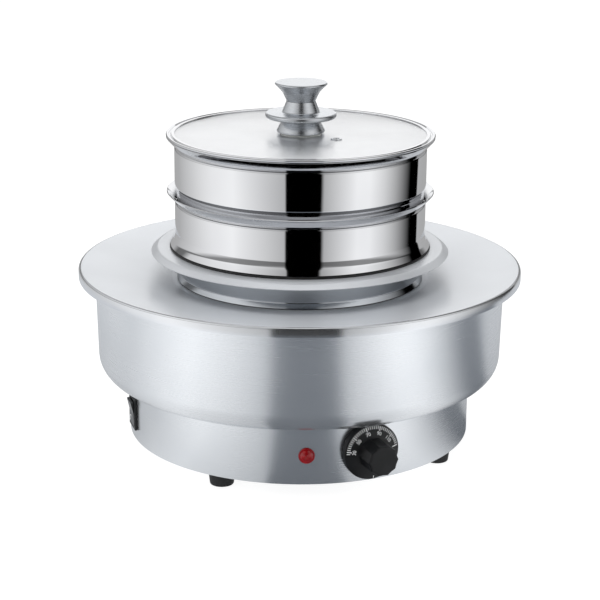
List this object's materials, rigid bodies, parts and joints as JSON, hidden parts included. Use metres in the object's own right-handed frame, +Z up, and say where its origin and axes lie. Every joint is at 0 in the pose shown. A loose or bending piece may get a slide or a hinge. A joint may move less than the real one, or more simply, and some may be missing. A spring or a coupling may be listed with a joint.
{
  "type": "electric dumpling steamer",
  "caption": "Round electric steamer with a low water pan on a heated base, a lift-off cover, nesting steam baskets and a flat glass lid with a turned knob.",
  "frame": {"origin": "centre of the footprint on the table", "axes": "+Z up through the lid knob, -Y towards the front with the controls, -X towards the switch"},
  "size_m": [0.4259, 0.426, 0.3518],
  "materials": {
    "polished_steel": "mirror polished stainless steel",
    "satin_steel": "satin stainless steel",
    "turned_steel": "lathe turned stainless steel",
    "plated_steel": "zinc plated",
    "glass": "clear toughened glass",
    "silicone": "black silicone",
    "clear_silicone": "milky silicone",
    "foot_rubber": "matt black",
    "black_plastic": "fine moulded black",
    "gloss_black": "glossy black",
    "red_lens": "translucent red",
    "lamp_plastic": "white nylon",
    "block_plastic": "cream glazed ceramic",
    "brass": "turned brass",
    "copper": "drawn copper"
  },
  "bodies": {
    "base": {"feet": "foot_rubber", "stud_nuts": "plated_steel", "bottom_plate": "satin_steel", "base_shell": "satin_steel", "tie_studs": "plated_steel", "pan": "satin_steel", "heating_element": "turned_steel", "pan_glands": "brass", "gland_nuts": "brass", "sensor_bulb": "copper", "capillary_tube": "copper", "thermostat_body": "plated_steel", "thermostat_nut": "plated_steel", "pilot_lens": "red_lens", "pilot_lamp_body": "lamp_plastic", "pilot_lamp_nut": "plated_steel", "switch_housing": "black_plastic", "switch_blades": "brass", "cord_gland": "black_plastic", "cord_gland_nut": "black_plastic", "terminal_block": "block_plastic", "earth_stud": "brass"},
    "cover": {"cover_plate": "polished_steel"},
    "adapter": {"adapter_ring": "polished_steel", "basket_seal": "silicone"},
    "lower_basket": {"lower_basket_wall": "polished_steel", "lower_basket_floor": "polished_steel"},
    "upper_basket": {"upper_basket_wall": "polished_steel", "upper_basket_floor": "polished_steel"},
    "lid": {"lid_rim": "polished_steel", "lid_glass": "glass", "lid_steam_eyelet": "polished_steel", "lid_upper_washer": "clear_silicone", "lid_lower_washer": "clear_silicone", "lid_knob_screw": "plated_steel", "lid_knob_seat": "turned_steel", "lid_knob_guard": "turned_steel", "lid_knob_cap": "turned_steel"},
    "thermostat_dial": {"thermostat_knob": "black_plastic", "thermostat_shaft": "plated_steel"},
    "rocker": {"switch_rocker": "gloss_black"}
  },
  "joints": [
    {"name": "cover_lift", "type": "slide", "parent": "base", "child": "cover", "axis": [0, 0, 1], "range_m": [0, 0.12]},
    {"name": "adapter_lift", "type": "slide", "parent": "cover", "child": "adapter", "axis": [0, 0, 1], "range_m": [0, 0.1]},
    {"name": "lower_basket_lift", "type": "slide", "parent": "adapter", "child": "lower_basket", "axis": [0, 0, 1], "range_m": [0, 0.1]},
    {"name": "upper_basket_lift", "type": "slide", "parent": "lower_basket", "child": "upper_basket", "axis": [0, 0, 1], "range_m": [0, 0.1]},
    {"name": "lid_lift", "type": "slide", "parent": "upper_basket", "child": "lid", "axis": [0, 0, 1], "range_m": [0, 0.1]},
    {"name": "thermostat_turn", "type": "hinge", "parent": "base", "child": "thermostat_dial", "pos_m": [0.01632, -0.1664, 0.043], "axis": [-0.0976, 0.9952, 0], "range_deg": [0, 280]},
    {"name": "rocker_tilt", "type": "hinge", "parent": "base", "child": "rocker", "pos_m": [-0.1655, 0, 0.039], "axis": [0, 1, 0], "range_deg": [0, 14]}
  ]
}
